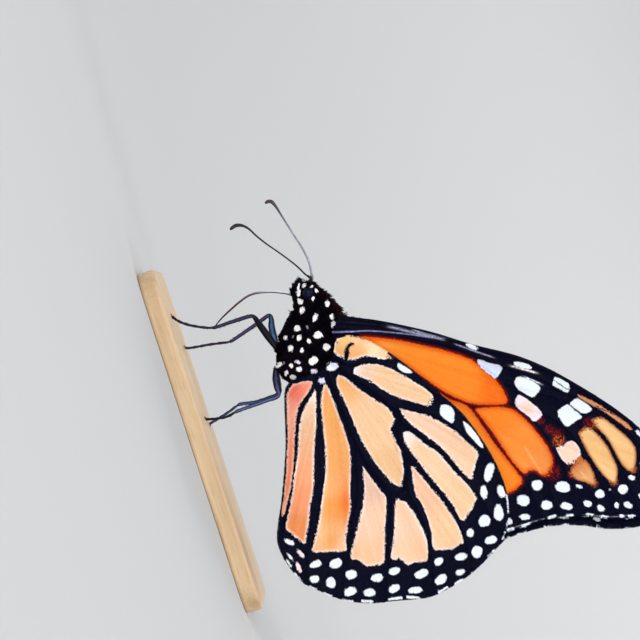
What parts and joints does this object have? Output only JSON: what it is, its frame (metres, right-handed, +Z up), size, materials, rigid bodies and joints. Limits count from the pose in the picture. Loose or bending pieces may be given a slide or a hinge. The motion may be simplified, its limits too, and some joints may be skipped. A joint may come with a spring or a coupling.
{
  "type": "monarch butterfly",
  "caption": "Monarch butterfly feeding with its wings closed, head raised and proboscis uncoiled: a still life-size museum model standing on a thin flat display base.",
  "frame": {"origin": "middle of the box that holds the whole part, on the underside of the display base", "axes": "+Z up, -X toward the head, -Y toward the butterfly's left side, which the picture shows"},
  "size_m": [0.059, 0.03, 0.0608],
  "materials": {
    "fur": "black hair-like scales with white spots, matte",
    "cuticle": "black cuticle with a faint blue sheen, satin",
    "eye": "blue-black facets, glossy",
    "feeler": "dark brown scaled cuticle, satin",
    "fore_wing": "scaled membrane, orange with black veins and white border spots",
    "hind_wing": "scaled membrane, pale buff with black veins and white border spots",
    "base": "pale maple, satin"
  },
  "bodies": {
    "root": {"head": "fur", "thorax": "fur", "abdomen": "fur", "eye_left": "eye", "eye_right": "eye", "antenna_left": "feeler", "antenna_right": "feeler", "proboscis": "feeler", "palp_left": "fur", "palp_right": "fur", "foreleg_left": "cuticle", "foreleg_right": "cuticle", "midleg_left": "cuticle", "midleg_right": "cuticle", "hindleg_left": "cuticle", "hindleg_right": "cuticle", "forewing_left": "fore_wing", "forewing_right": "fore_wing", "hindwing_left": "hind_wing", "hindwing_right": "hind_wing", "stand_base": "base"}
  },
  "joints": []
}
